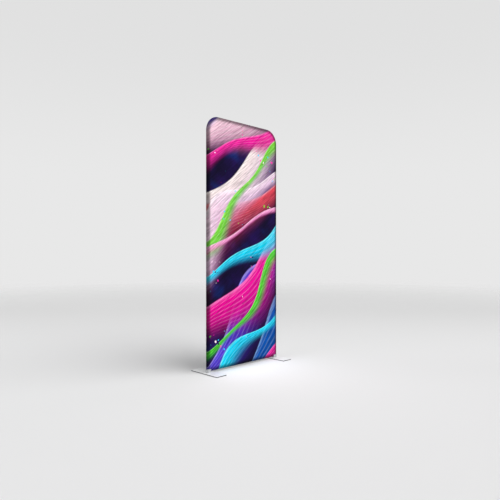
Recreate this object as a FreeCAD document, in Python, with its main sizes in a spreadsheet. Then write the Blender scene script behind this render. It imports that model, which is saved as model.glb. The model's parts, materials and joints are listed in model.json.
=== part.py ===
import FreeCAD, Part
import math
import os
import types

import Sketcher

# A free-standing backlit display wall: a knock-down tube frame on two swivelling feet,
# light bars along both poles, and a zipped cloth cover stretched over the frame.
# X runs to the right seen from the front, Y to the rear, Z up; the floor is at zero.
# Every length is in millimetres.
SIZES = (
    ("panel_width", "1000"),
    ("panel_height", "2500"),
    ("corner_radius", "150"),
    ("ground_gap", "16.5"),
    ("tube_diameter", "30"),
    ("tube_wall", "1.5"),
    ("joint_height", "1240"),
    ("bend_tail", "70"),
    ("cloth_gap", "0.3"),
    ("cloth_thickness", "0.6"),
    ("notch_gap", "1"),
    ("slide_gap", "0.1"),
    ("coupler_wall", "1.5"),
    ("coupler_length", "100"),
    ("butt_gap", "0.3"),
    ("button_diameter", "7"),
    ("button_gap", "0.2"),
    ("button_lift", "2.5"),
    ("button_crown", "1.2"),
    ("button_setback", "35"),
    ("button_flange_diameter", "9"),
    ("button_flange_thickness", "0.7"),
    ("spring_width", "7"),
    ("spring_thickness", "0.6"),
    ("spring_reach", "32"),
    ("spring_tip", "6"),
    ("spring_heel", "2.5"),
    ("block_width", "46"),
    ("block_height", "29.5"),
    ("block_side_gap", "0.3"),
    ("block_edge_radius", "6"),
    ("block_rim", "0.8"),
    ("plate_length", "386"),
    ("plate_width", "128"),
    ("plate_thickness", "6"),
    ("plate_corner_radius", "8"),
    ("plate_inset", "10"),
    ("plate_rim", "1"),
    ("mat_thickness", "1.5"),
    ("mat_inset", "2"),
    ("washer_diameter", "30"),
    ("washer_thickness", "0.8"),
    ("swivel_gap", "0.2"),
    ("pivot_diameter", "10"),
    ("pivot_reach", "20"),
    ("pivot_head_diameter", "18"),
    ("pivot_head_height", "4"),
    ("pivot_gap", "0.05"),
    ("hex_across", "6"),
    ("hex_depth", "3"),
    ("inlet_diameter", "11"),
    ("inlet_length", "8"),
    ("inlet_flange_diameter", "15"),
    ("inlet_flange_thickness", "1.6"),
    ("inlet_bore_diameter", "6.4"),
    ("inlet_bore_depth", "6"),
    ("inlet_height", "12"),
    ("cavity_depth", "26"),
    ("fit_gap", "0.05"),
    ("saddle_thickness", "2"),
    ("saddle_width", "12"),
    ("saddle_length", "30"),
    ("saddle_inset", "60"),
    ("channel_width", "18"),
    ("channel_depth", "8"),
    ("channel_wall", "1.2"),
    ("board_width", "14"),
    ("board_thickness", "1.6"),
    ("bar_lower_gap", "70"),
    ("bar_joint_gap", "70"),
    ("bar_bend_gap", "25"),
    ("lens_diameter", "11"),
    ("lens_rim", "1.2"),
    ("lens_height", "5.5"),
    ("lens_spacing", "90"),
    ("lead_diameter", "3.5"),
    ("lead_side", "5.8"),
    ("lead_lift", "1"),
    ("lead_bend", "10"),
    ("lead_hole_gap", "0.5"),
    ("clip_length", "8"),
    ("clip_wall", "1.2"),
    ("clip_spacing", "220"),
    ("zip_height", "90"),
    ("zip_opening", "11"),
    ("zip_end_inset", "75"),
    ("tape_width", "14"),
    ("tape_thickness", "0.5"),
    ("tape_gap", "0.1"),
    ("coil_width", "5"),
    ("coil_thickness", "2"),
    ("slider_length", "18"),
    ("slider_width", "9"),
    ("slider_plate", "1.2"),
    ("slider_gap", "0.3"),
    ("slider_lip", "1.1"),
    ("slider_post", "2.5"),
    ("slider_park", "16"),
    ("stop_length", "3"),
    ("stop_wall", "1.5"),
    ("stop_gap", "0.1"),
    ("stop_inset", "4"),
    ("bridge_span", "12"),
    ("bridge_post", "1.8"),
    ("bridge_rise", "2.6"),
    ("bridge_radius", "0.9"),
    ("pull_gap", "0.08"),
    ("pull_eye_wall", "1.3"),
    ("pull_width", "6"),
    ("pull_length", "36"),
    ("pull_thickness", "1.4"),
)

doc = FreeCAD.newDocument("backlit_display_wall")
sheet = doc.addObject("Spreadsheet::Sheet", "Sizes")
for row, (name, number) in enumerate(SIZES, start=1):
    sheet.set("A%d" % row, name)
    sheet.set("B%d" % row, number)
    sheet.setAlias("B%d" % row, name)
doc.recompute()


class Size:
    """A length from the sheet, or a sum of such lengths, with the expression that gives it."""

    def __init__(self, value, text):
        self.value = value
        self.text = text

    def __add__(self, other):
        return Size(self.value + other.value, "(%s + %s)" % (self.text, other.text))

    def __sub__(self, other):
        return Size(self.value - other.value, "(%s - %s)" % (self.text, other.text))

    def __mul__(self, share):
        return Size(self.value * share, "(%s * %s)" % (self.text, share))

    def __truediv__(self, share):
        return Size(self.value / share, "(%s / %s)" % (self.text, share))

    def __neg__(self):
        return Size(-self.value, "(-%s)" % self.text)


def leg(slope, side):
    """The other short side of a right-angled triangle."""
    value = math.sqrt(slope.value ** 2 - side.value ** 2)
    return Size(value, "sqrt(%s * %s - %s * %s)" % (slope.text, slope.text, side.text, side.text))


def count(run, spacing):
    """How many evenly spaced pieces fit in a run, with one at its start."""
    value = math.floor(run.value / spacing.value) + 1
    return Size(value, "(floor(%s / %s) + 1)" % (run.text, spacing.text))


NIL = Size(0.0, "0")
S = types.SimpleNamespace(**{name: Size(float(sheet.get(name)), "Sizes." + name) for name, number in SIZES})

# Lengths that several pieces share.
tube_radius = S.tube_diameter / 2
tube_bore = tube_radius - S.tube_wall
coupler_radius = tube_bore - S.slide_gap
coupler_bore = coupler_radius - S.coupler_wall
cloth_inside = tube_radius + S.cloth_gap
cloth_outside = cloth_inside + S.cloth_thickness
pole_x = S.panel_width / 2 - cloth_outside
top_z = S.panel_height - cloth_outside
rail_z = S.ground_gap + cloth_outside
bend_radius = S.corner_radius - cloth_outside
corner_x = pole_x - bend_radius
corner_z = top_z - bend_radius
top_joint_x = corner_x - S.bend_tail
plate_top = S.mat_thickness + S.plate_thickness
block_z = plate_top + S.swivel_gap + S.washer_thickness
block_top = block_z + S.block_height
block_side = cloth_outside + S.block_side_gap
block_inner = S.block_width - cloth_outside
block_face_x = pole_x - block_inner
notch_x = block_face_x - S.notch_gap
notch_z = block_top + S.notch_gap
button_radius = S.button_diameter / 2
button_hole = button_radius + S.button_gap
button_seat = leg(coupler_bore, S.button_flange_diameter / 2) - S.button_gap
spring_face = button_seat - S.button_flange_thickness
rail_half = block_face_x - S.butt_gap
channel_floor = tube_radius + S.saddle_thickness
board_face = channel_floor + S.channel_wall
lens_face = board_face + S.board_thickness
board_middle = board_face + S.board_thickness / 2
lead_radius = S.lead_diameter / 2
lead_x = pole_x - board_middle
lead_run_z = rail_z + tube_radius + S.lead_lift + S.lead_bend
zip_half = pole_x - S.zip_end_inset
tape_inner_y = cloth_inside - S.tape_gap - S.tape_thickness
coil_outer_y = tape_inner_y + S.coil_thickness
slider_x = zip_half - S.slider_park
bridge_y = coil_outer_y + S.slider_gap + S.slider_plate + S.bridge_rise
bars = (
    ("lower", block_top + S.bar_lower_gap, S.joint_height - S.bar_joint_gap),
    ("upper", S.joint_height + S.bar_joint_gap, corner_z - S.bar_bend_gap),
)

ALONG_Y = FreeCAD.Vector(0, 1, 0)
ALONG_Z = FreeCAD.Vector(0, 0, 1)
STRAIGHT = FreeCAD.Rotation(ALONG_Z, 0)
HALF_TURN = FreeCAD.Rotation(ALONG_Z, 180)
OVER_TO_X = FreeCAD.Rotation(ALONG_Y, 90)
SWAP_X_AND_Z = FreeCAD.Rotation(FreeCAD.Vector(1, 0, 1), 180)
SIDES = (("left", -1, STRAIGHT), ("right", 1, HALF_TURN))
HEX_SIDES = 6
LENS_TOP_SHARE = 1 / 3
COIL_CHAMFER_SHARE = 1 / 4
PULL_CORNER_SHARE = 1 / 4
CLOSE = 1e-6
nodes = []


def tie(item, prop, size):
    """Binds one size of a feature to the sheet."""
    item.setExpression(prop, size.text)


def place(item, x=NIL, y=NIL, z=NIL, turn=STRAIGHT):
    """Sets a piece down at a point that follows the sheet."""
    item.Placement = FreeCAD.Placement(FreeCAD.Vector(x.value, y.value, z.value), turn)
    tie(item, "Placement.Base.x", x)
    tie(item, "Placement.Base.y", y)
    tie(item, "Placement.Base.z", z)


def new_body(label):
    body = doc.addObject("PartDesign::Body", label)
    body.Label = label
    return body


def new_sketch(body, name, plane, along=NIL, x=NIL, y=NIL):
    """A sketch on one of the body's planes, moved along that plane's normal and within it."""
    sketch = body.newObject("Sketcher::SketchObject", body.Name + "_" + name)
    support = next(item for item in body.Origin.OriginFeatures if item.Role == plane)
    sketch.AttachmentSupport = [(support, "")]
    sketch.MapMode = "FlatFace"
    tie(sketch, "AttachmentOffset.Base.x", x)
    tie(sketch, "AttachmentOffset.Base.y", y)
    tie(sketch, "AttachmentOffset.Base.z", along)
    return sketch


def pin(sketch, geometry, end, point, across=True, up=True):
    """Holds one point of a sketch at its two lengths from the sheet."""
    for wanted, kind, size in ((across, "DistanceX", point[0]), (up, "DistanceY", point[1])):
        if wanted:
            index = sketch.addConstraint(Sketcher.Constraint(kind, -1, 1, geometry, end, size.value))
            tie(sketch, "Constraints[%d]" % index, size)


def spot(point):
    return FreeCAD.Vector(point[0].value, point[1].value, 0)


def bearing(centre, point):
    return math.atan2(point[1].value - centre[1].value, point[0].value - centre[0].value)


def draw_arc(sketch, start, end, centre, left_turn):
    """An arc between two points; gives its index and which of its ends is the first and last."""
    circle = Part.Circle(spot(centre), ALONG_Z, (spot(start) - spot(centre)).Length)
    first, last = (start, end) if left_turn else (end, start)
    arc = Part.ArcOfCircle(circle, bearing(centre, first), bearing(centre, last))
    index = sketch.addGeometry(arc, False)
    pin(sketch, index, 3, centre)
    return (index, 1, 2) if left_turn else (index, 2, 1)


def halves(point, centre):
    """Which of a point's two lengths to hold when an arc already gives it the other."""
    if centre is None:
        return True, True
    off = spot(point) - spot(centre)
    return abs(off.x) < abs(off.y), abs(off.x) >= abs(off.y)


def trace(sketch, start, *steps, closed=True):
    """Draws from point to point. A step is a point, or a point, a centre and True for a left turn."""
    if closed and steps[-1][0] is not start:
        steps = steps + ((start,),)
    drawn, here = [], start
    arc_centre = steps[-1][1] if closed and len(steps[-1]) > 1 else None
    for step in steps:
        there = step[0]
        if len(step) > 1:
            index, first, last = draw_arc(sketch, here, there, step[1], step[2])
        else:
            index, first, last = sketch.addGeometry(Part.LineSegment(spot(here), spot(there)), False), 1, 2
        if drawn:
            sketch.addConstraint(Sketcher.Constraint("Coincident", drawn[-1][0], drawn[-1][2], index, first))
        pin(sketch, index, first, here, *halves(here, arc_centre))
        drawn.append((index, first, last))
        here, arc_centre = there, step[1] if len(step) > 1 else None
    if closed:
        (index, first, _), (closing, _, last) = drawn[0], drawn[-1]
        sketch.addConstraint(Sketcher.Constraint("Coincident", closing, last, index, first))
    else:
        pin(sketch, drawn[-1][0], drawn[-1][2], here, *halves(here, arc_centre))


def ring(sketch, radius, centre=(NIL, NIL)):
    circle = Part.Circle(spot(centre), ALONG_Z, radius.value)
    index = sketch.addGeometry(circle, False)
    pin(sketch, index, 3, centre)
    bound = sketch.addConstraint(Sketcher.Constraint("Radius", index, radius.value))
    tie(sketch, "Constraints[%d]" % bound, radius)


def rectangle(sketch, left, right, low, high):
    trace(sketch, (left, low), ((right, low),), ((right, high),), ((left, high),))


def rounded(sketch, left, right, low, high, radius):
    """A rectangle with its four corners rounded."""
    start = (left + radius, low)
    trace(
        sketch,
        start,
        ((right - radius, low),),
        ((right, low + radius), (right - radius, low + radius), True),
        ((right, high - radius),),
        ((right - radius, high), (right - radius, high - radius), True),
        ((left + radius, high),),
        ((left, high - radius), (left + radius, high - radius), True),
        ((left, low + radius),),
        (start, (left + radius, low + radius), True),
    )


def pad(body, sketch, length, back=False, both=False):
    """Raises a sketch along its normal, against it, or to both sides."""
    item = body.newObject("PartDesign::Pad", sketch.Name + "_pad")
    item.Profile = sketch
    tie(item, "Length", length)
    item.Reversed = back
    item.SideType = "Symmetric" if both else "One side"
    return item


def cut(body, sketch, length, along=True, both=False):
    """Cuts a sketch into the body along its normal, against it, or to both sides."""
    item = body.newObject("PartDesign::Pocket", sketch.Name + "_cut")
    item.Profile = sketch
    tie(item, "Length", length)
    item.Reversed = along
    item.SideType = "Symmetric" if both else "One side"
    return item


def soften(body, base, size, height):
    """Takes the sharp edge off the rim that lies at one height."""
    doc.recompute()
    rim = []
    for number, edge in enumerate(base.Shape.Edges, start=1):
        if all(abs(corner.Z - height.value) < CLOSE for corner in edge.Vertexes):
            rim.append("Edge%d" % number)
    item = body.newObject("PartDesign::Chamfer", base.Name + "_rim")
    item.Base = (base, rim)
    tie(item, "Size", size)


def spin(body, sketch, axis, angle=360, back=False, kind="Revolution"):
    """Turns a sketch about one of its own axes."""
    item = body.newObject("PartDesign::" + kind, sketch.Name + "_spin")
    item.Profile = sketch
    item.ReferenceAxis = (sketch, [axis])
    item.Angle = angle
    item.Reversed = back
    return item


def sweep(body, sketch, spine, kind="AdditivePipe"):
    """Draws a section along a line."""
    item = body.newObject("PartDesign::" + kind, sketch.Name + "_sweep")
    item.Profile = sketch
    item.Spine = (spine, ["Edge%d" % (number + 1) for number in range(spine.GeometryCount)])
    return item


def block(name, x, y, z, size_x, size_y, size_z):
    """A plain box from its low corner."""
    item = doc.addObject("Part::Box", name)
    tie(item, "Length", size_x)
    tie(item, "Width", size_y)
    tie(item, "Height", size_z)
    place(item, x, y, z)
    return item


def rod(name, radius, length, x, y, z, turn=STRAIGHT):
    """A plain round bar from the middle of its lower end."""
    item = doc.addObject("Part::Cylinder", name)
    tie(item, "Radius", radius)
    tie(item, "Height", length)
    place(item, x, y, z, turn)
    return item


def group(label, items):
    """Like pieces kept together as separate solids."""
    item = doc.addObject("Part::Compound", label)
    item.Label = label
    item.Links = items
    nodes.append(item)
    return item


def button_hole_in(body, name, height):
    """The round hole that a snap button comes out of, on the side towards the panel's middle."""
    sketch = new_sketch(body, name, "YZ_Plane")
    ring(sketch, button_hole, (NIL, height))
    cut(body, sketch, S.tube_diameter)


def straight_tube(label, length):
    body = new_body(label)
    sketch = new_sketch(body, "section", "XY_Plane")
    ring(sketch, tube_radius)
    ring(sketch, tube_bore)
    pad(body, sketch, length)
    nodes.append(body)
    return body


def lower_pole(side, hand, turn):
    body = straight_tube("lower_pole_" + side, S.joint_height - block_top)
    button_hole_in(body, "base_hole", S.button_setback)
    place(body, pole_x * hand, NIL, block_top, turn)


def upper_pole(side, hand, turn):
    """A pole that bends over into the top edge."""
    body = new_body("upper_pole_" + side)
    rise = corner_z - S.joint_height
    spine = new_sketch(body, "line", "XZ_Plane")
    trace(
        spine,
        (NIL, NIL),
        ((NIL, rise),),
        ((bend_radius, rise + bend_radius), (bend_radius, rise), False),
        ((bend_radius + S.bend_tail, rise + bend_radius),),
        closed=False,
    )
    outside = new_sketch(body, "outside", "XY_Plane")
    ring(outside, tube_radius)
    sweep(body, outside, spine)
    inside = new_sketch(body, "inside", "XY_Plane")
    ring(inside, tube_bore)
    sweep(body, inside, spine, "SubtractivePipe")
    button_hole_in(body, "mid_hole", S.button_setback)
    place(body, pole_x * hand, NIL, S.joint_height, turn)
    nodes.append(body)


def top_rail():
    body = straight_tube("top_rail", top_joint_x * 2)
    button_hole_in(body, "left_hole", S.button_setback)
    button_hole_in(body, "right_hole", top_joint_x * 2 - S.button_setback)
    place(body, -top_joint_x, NIL, top_z, OVER_TO_X)


def bottom_rail():
    body = straight_tube("bottom_rail", rail_half * 2)
    button_hole_in(body, "left_hole", S.button_setback)
    button_hole_in(body, "right_hole", rail_half * 2 - S.button_setback)
    place(body, -rail_half, NIL, rail_z, SWAP_X_AND_Z)


def coupler(label, x, z, turn):
    """The sleeve inside a tube joint, fixed in one tube and holding the button for the other."""
    body = new_body(label)
    sketch = new_sketch(body, "section", "XY_Plane", -S.coupler_length / 2)
    ring(sketch, coupler_radius)
    ring(sketch, coupler_bore)
    pad(body, sketch, S.coupler_length)
    button_hole_in(body, "hole", S.button_setback)
    place(body, x, NIL, z, turn)
    nodes.append(body)


def button(label, x, z, turn):
    """A domed stud with a flange that stays inside the sleeve."""
    body = new_body(label)
    tip = tube_radius + S.button_lift
    sketch = new_sketch(body, "profile", "XY_Plane")
    trace(
        sketch,
        (spring_face, NIL),
        ((tip, NIL),),
        ((tip, button_radius - S.button_crown),),
        ((tip - S.button_crown, button_radius),),
        ((button_seat, button_radius),),
        ((button_seat, S.button_flange_diameter / 2),),
        ((spring_face, S.button_flange_diameter / 2),),
    )
    spin(body, sketch, "H_Axis")
    place(body, x, NIL, z, turn)
    nodes.append(body)


def spring(label, x, z, turn):
    """A bent strip that pushes the stud out and leans on the far wall of the sleeve."""
    body = new_body(label)
    near = spring_face
    far = leg(coupler_bore, S.spring_width / 2) - S.button_gap
    thick = S.spring_thickness
    sketch = new_sketch(body, "profile", "XZ_Plane")
    trace(
        sketch,
        (near, S.spring_tip),
        ((near - thick, S.spring_tip),),
        ((near - thick, -S.spring_tip),),
        ((S.spring_heel - thick, thick - S.spring_reach),),
        ((thick - S.spring_heel, thick - S.spring_reach),),
        ((thick - far, -S.spring_tip),),
        ((thick - far, S.spring_tip),),
        ((-far, S.spring_tip),),
        ((-far, -S.spring_tip),),
        ((-S.spring_heel, -S.spring_reach),),
        ((S.spring_heel, -S.spring_reach),),
        ((near, -S.spring_tip),),
    )
    pad(body, sketch, S.spring_width, both=True)
    place(body, x, NIL, z, turn)
    nodes.append(body)


def snap_joints():
    """Every place where a stud clicks through a tube: four on each side."""
    for side, hand, turn in SIDES:
        base = (pole_x * hand, block_top + S.button_setback, turn)
        mid = (pole_x * hand, S.joint_height + S.button_setback, turn)
        top = ((top_joint_x - S.button_setback) * hand, top_z, turn.multiply(OVER_TO_X))
        rail = ((rail_half - S.button_setback) * hand, rail_z, turn.multiply(SWAP_X_AND_Z))
        coupler("mid_coupler_" + side, pole_x * hand, S.joint_height, turn)
        coupler("top_coupler_" + side, top_joint_x * hand, top_z, turn.multiply(OVER_TO_X))
        for name, where in (("base", base), ("mid", mid), ("top", top), ("rail", rail)):
            button("%s_button_%s" % (name, side), *where)
            spring("%s_spring_%s" % (name, side), *where)


def corner_block(side, hand, turn):
    """The cast corner that joins a pole, the bottom rail and a foot; the right one holds the inlet."""
    body = new_body("corner_block_" + side)
    base = new_sketch(body, "base", "XY_Plane")
    rounded(base, -cloth_outside, block_inner, -block_side, block_side, S.block_edge_radius)
    lump = pad(body, base, S.block_height)
    soften(body, lump, S.block_rim, S.block_height)
    branch_z = rail_z - block_z
    hub_start = tube_radius + S.butt_gap
    hub = new_sketch(body, "hub", "YZ_Plane", hub_start)
    ring(hub, tube_radius, (NIL, branch_z))
    pad(body, hub, block_inner - hub_start)
    stem = S.coupler_length / 2
    upright = new_sketch(body, "upright", "XY_Plane", S.block_height)
    ring(upright, coupler_radius)
    pad(body, upright, stem)
    branch = new_sketch(body, "branch", "YZ_Plane", block_inner)
    ring(branch, coupler_radius, (NIL, branch_z))
    pad(body, branch, stem)
    upright_bore = new_sketch(body, "upright_bore", "XY_Plane", S.block_height)
    ring(upright_bore, coupler_bore)
    cut(body, upright_bore, stem)
    branch_bore = new_sketch(body, "branch_bore", "YZ_Plane", block_inner)
    ring(branch_bore, coupler_bore, (NIL, branch_z))
    cut(body, branch_bore, stem)
    button_hole_in(body, "upright_hole", S.block_height + S.button_setback)
    hole = new_sketch(body, "branch_hole", "XY_Plane", branch_z)
    ring(hole, button_hole, (block_inner + S.butt_gap + S.button_setback, NIL))
    cut(body, hole, S.tube_diameter)
    pivot = new_sketch(body, "pivot", "XY_Plane")
    ring(pivot, S.pivot_diameter / 2)
    cut(body, pivot, S.pivot_reach)
    if side == "right":
        inlet_cavity(body)
    place(body, pole_x * hand, NIL, block_z, turn)
    nodes.append(body)


def inlet_cavity(body):
    """Room for the power inlet in the rear face, and two ways up for its leads."""
    socket = new_sketch(body, "socket", "XZ_Plane", block_side)
    ring(socket, S.inlet_diameter / 2, (board_middle, S.inlet_height))
    cut(body, socket, S.cavity_depth, along=False)
    for name, way in (("front_way", S.lead_side), ("rear_way", -S.lead_side)):
        hole = new_sketch(body, name, "XY_Plane", S.inlet_height)
        ring(hole, lead_radius + S.lead_hole_gap, (board_middle, way))
        cut(body, hole, S.block_height + S.tube_diameter)


def power_inlet():
    """A round low-voltage socket pressed into the rear of the right corner block."""
    body = new_body("power_inlet")
    flange = S.inlet_flange_thickness
    sketch = new_sketch(body, "profile", "XY_Plane")
    outside = S.inlet_diameter / 2 - S.fit_gap
    bore = S.inlet_bore_diameter / 2
    trace(
        sketch,
        (NIL, -S.inlet_length),
        ((outside, -S.inlet_length),),
        ((outside, NIL),),
        ((S.inlet_flange_diameter / 2, NIL),),
        ((S.inlet_flange_diameter / 2, flange),),
        ((bore, flange),),
        ((bore, flange - S.inlet_bore_depth),),
        ((NIL, flange - S.inlet_bore_depth),),
    )
    spin(body, sketch, "V_Axis")
    place(body, lead_x, block_side, block_z + S.inlet_height)
    nodes.append(body)


def foot(side, hand, turn):
    """A flat plate that swivels under its corner block, with a soft mat below it."""
    half_y = S.plate_length / 2
    outer, inner = S.plate_inset - S.plate_width / 2, S.plate_inset + S.plate_width / 2
    plate = new_body("foot_plate_" + side)
    outline = new_sketch(plate, "outline", "XY_Plane")
    rounded(outline, outer, inner, -half_y, half_y, S.plate_corner_radius)
    slab = pad(plate, outline, S.plate_thickness)
    soften(plate, slab, S.plate_rim, S.plate_thickness)
    hole = new_sketch(plate, "hole", "XZ_Plane")
    pivot_profile(hole, S.plate_thickness, NIL)
    spin(plate, hole, "V_Axis", kind="Groove")
    place(plate, pole_x * hand, NIL, S.mat_thickness, turn)
    nodes.append(plate)

    mat = new_body("foot_mat_" + side)
    outline = new_sketch(mat, "outline", "XY_Plane")
    inset = S.mat_inset
    radius = S.plate_corner_radius - inset
    rounded(outline, outer + inset, inner - inset, inset - half_y, half_y - inset, radius)
    pad(mat, outline, S.mat_thickness)
    place(mat, pole_x * hand, NIL, NIL, turn)
    nodes.append(mat)


def pivot_profile(sketch, reach, gap):
    """Half the outline of the countersunk pivot, or of the hole for it with no gap taken off."""
    shank = S.pivot_diameter / 2 - gap
    head = S.pivot_head_diameter / 2 - gap
    trace(
        sketch,
        (NIL, gap),
        ((head, gap),),
        ((shank, S.pivot_head_height + gap),),
        ((shank, reach),),
        ((NIL, reach),),
    )


def pivot(side, hand, turn):
    """The screw that a foot swivels on, and the slippery washer between foot and block."""
    screw = new_body("pivot_screw_" + side)
    sketch = new_sketch(screw, "profile", "XZ_Plane")
    pivot_profile(sketch, block_z - S.mat_thickness + S.pivot_reach - S.swivel_gap, S.pivot_gap)
    spin(screw, sketch, "V_Axis")
    drive = new_sketch(screw, "drive", "XY_Plane")
    half = S.hex_across / 2
    point = half / math.cos(math.pi / HEX_SIDES)
    trace(
        drive,
        (half, point / 2),
        ((NIL, point),),
        ((-half, point / 2),),
        ((-half, -point / 2),),
        ((NIL, -point),),
        ((half, -point / 2),),
    )
    cut(screw, drive, S.hex_depth)
    place(screw, pole_x * hand, NIL, S.mat_thickness, turn)
    nodes.append(screw)

    washer = new_body("swivel_washer_" + side)
    sketch = new_sketch(washer, "section", "XY_Plane")
    ring(sketch, S.washer_diameter / 2)
    ring(sketch, S.pivot_diameter / 2)
    pad(washer, sketch, S.washer_thickness)
    place(washer, pole_x * hand, NIL, plate_top + S.swivel_gap, turn)
    nodes.append(washer)


def light_bar(side, hand, turn, part, low, high, parts):
    """One extruded channel with its board and lenses, held to the pole by saddles."""
    label = "%s_%s" % (side, part)
    half = S.channel_width / 2
    wall = S.channel_wall
    channel = new_body("led_channel_" + label)
    sketch = new_sketch(channel, "section", "XY_Plane")
    rim = channel_floor + S.channel_depth
    trace(
        sketch,
        (channel_floor, -half),
        ((rim, -half),),
        ((rim, wall - half),),
        ((board_face, wall - half),),
        ((board_face, half - wall),),
        ((rim, half - wall),),
        ((rim, half),),
        ((channel_floor, half),),
    )
    pad(channel, sketch, high - low)
    place(channel, pole_x * hand, NIL, low, turn)
    nodes.append(channel)

    board = new_body("board_" + label)
    sketch = new_sketch(board, "section", "XY_Plane")
    rectangle(sketch, board_face, lens_face, -S.board_width / 2, S.board_width / 2)
    pad(board, sketch, high - low)
    place(board, pole_x * hand, NIL, low, turn)
    parts["led_boards"].append(board)
    parts["led_lenses"].append(lens_row(label, pole_x * hand, low, high, turn))
    for number, height in enumerate((low + S.saddle_inset, (low + high) / 2, high - S.saddle_inset)):
        parts["led_saddles"].append(saddle("saddle_%s_%d" % (label, number), pole_x * hand, height, turn))


def lens_row(label, x, low, high, turn):
    """Round lenses, evenly spaced along a board."""
    body = new_body("lenses_" + label)
    body.AllowCompound = True
    rim, top = lens_face + S.lens_rim, lens_face + S.lens_height
    radius = S.lens_diameter / 2
    sketch = new_sketch(body, "profile", "XZ_Plane")
    trace(
        sketch,
        (lens_face, NIL),
        ((top, NIL),),
        ((top, radius * LENS_TOP_SHARE),),
        ((rim, radius),),
        ((lens_face, radius),),
    )
    first = spin(body, sketch, "H_Axis")
    run = high - low - S.lens_spacing
    row = body.newObject("PartDesign::LinearPattern", body.Name + "_row")
    row.Originals = [first]
    row.Direction = (next(item for item in body.Origin.OriginFeatures if item.Role == "Z_Axis"), [""])
    row.Mode = "Spacing"
    tie(row, "Offset", S.lens_spacing)
    tie(row, "Occurrences", count(run, S.lens_spacing))
    body.Tip = row
    place(body, x, NIL, low + S.lens_spacing / 2, turn)
    return body


def saddle(name, x, z, turn):
    """A pad that is hollowed to sit on the round pole and flat to carry a channel."""
    body = new_body(name)
    half = S.saddle_width / 2
    edge = leg(tube_radius + S.fit_gap, half)
    sketch = new_sketch(body, "section", "XY_Plane", -S.saddle_length / 2)
    start = (edge, -half)
    trace(
        sketch,
        start,
        ((channel_floor, -half),),
        ((channel_floor, half),),
        ((edge, half),),
        (start, (NIL, NIL), False),
    )
    pad(body, sketch, S.saddle_length)
    place(body, x, NIL, z, turn)
    return body


def light():
    parts = {"led_boards": [], "led_lenses": [], "led_saddles": []}
    for side, hand, turn in SIDES:
        for part, low, high in bars:
            light_bar(side, hand, turn, part, low, high, parts)
    for label, items in parts.items():
        group(label, items)


def straight_lead(label, x, y, low, high):
    item = rod(label, lead_radius, high - low, x, y, low)
    item.Label = label
    nodes.append(item)


def leads():
    """Low-voltage leads: inlet to the right bar, inlet across to the left bar, and over both pole joints."""
    source = block_z + S.inlet_height
    straight_lead("lead_right", lead_x, -S.lead_side, source, bars[0][1])
    straight_lead("jumper_right", lead_x, -S.lead_side, bars[0][2], bars[1][1])
    straight_lead("jumper_left", -lead_x, S.lead_side, bars[0][2], bars[1][1])
    body = new_body("lead_across")
    spine = new_sketch(body, "line", "XZ_Plane", -S.lead_side)
    bend = S.lead_bend
    trace(
        spine,
        (lead_x, source),
        ((lead_x, lead_run_z - bend),),
        ((lead_x - bend, lead_run_z), (lead_x - bend, lead_run_z - bend), True),
        ((bend - lead_x, lead_run_z),),
        ((-lead_x, lead_run_z + bend), (bend - lead_x, lead_run_z + bend), False),
        ((-lead_x, bars[0][1]),),
        closed=False,
    )
    section = new_sketch(body, "section", "XY_Plane", source)
    ring(section, lead_radius, (lead_x, S.lead_side))
    sweep(body, section, spine)
    nodes.append(body)


def lead_clips():
    """Pads on the bottom rail that the lead across runs through."""
    wall = S.clip_wall
    low = leg(tube_radius + S.fit_gap, S.lead_side - lead_radius - wall)
    items = []
    for number, step in enumerate((-1, 0, 1)):
        body = new_body("clip_%d" % number)
        sketch = new_sketch(body, "section", "YZ_Plane", -S.clip_length / 2)
        inner = S.lead_side - lead_radius - wall
        outer = S.lead_side + lead_radius + wall
        top = lead_run_z - rail_z + lead_radius + wall
        start = (inner, low)
        trace(
            sketch,
            start,
            ((outer, leg(tube_radius + S.fit_gap, outer)), (NIL, NIL), False),
            ((outer, top),),
            ((inner, top),),
        )
        ring(sketch, lead_radius + S.fit_gap, (S.lead_side, lead_run_z - rail_z))
        pad(body, sketch, S.clip_length)
        place(body, S.clip_spacing * step, NIL, rail_z)
        items.append(body)
    group("lead_clips", items)


def quarter(sketch, centre, across, up):
    """A quarter of the cloth's round edge: from the front of a tube to the side it wraps to."""
    y, z = centre
    front_out, front_in = (y - cloth_outside, z), (y - cloth_inside, z)
    if across:
        front_out, front_in = (y, z - cloth_outside), (y, z - cloth_inside)
        side_out, side_in = (y + cloth_outside * across, z), (y + cloth_inside * across, z)
    else:
        side_out, side_in = (y, z + cloth_outside * up), (y, z + cloth_inside * up)
    left = across > 0 or up < 0
    trace(sketch, front_out, (side_out, centre, left), (side_in,), (front_in, centre, not left))


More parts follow.
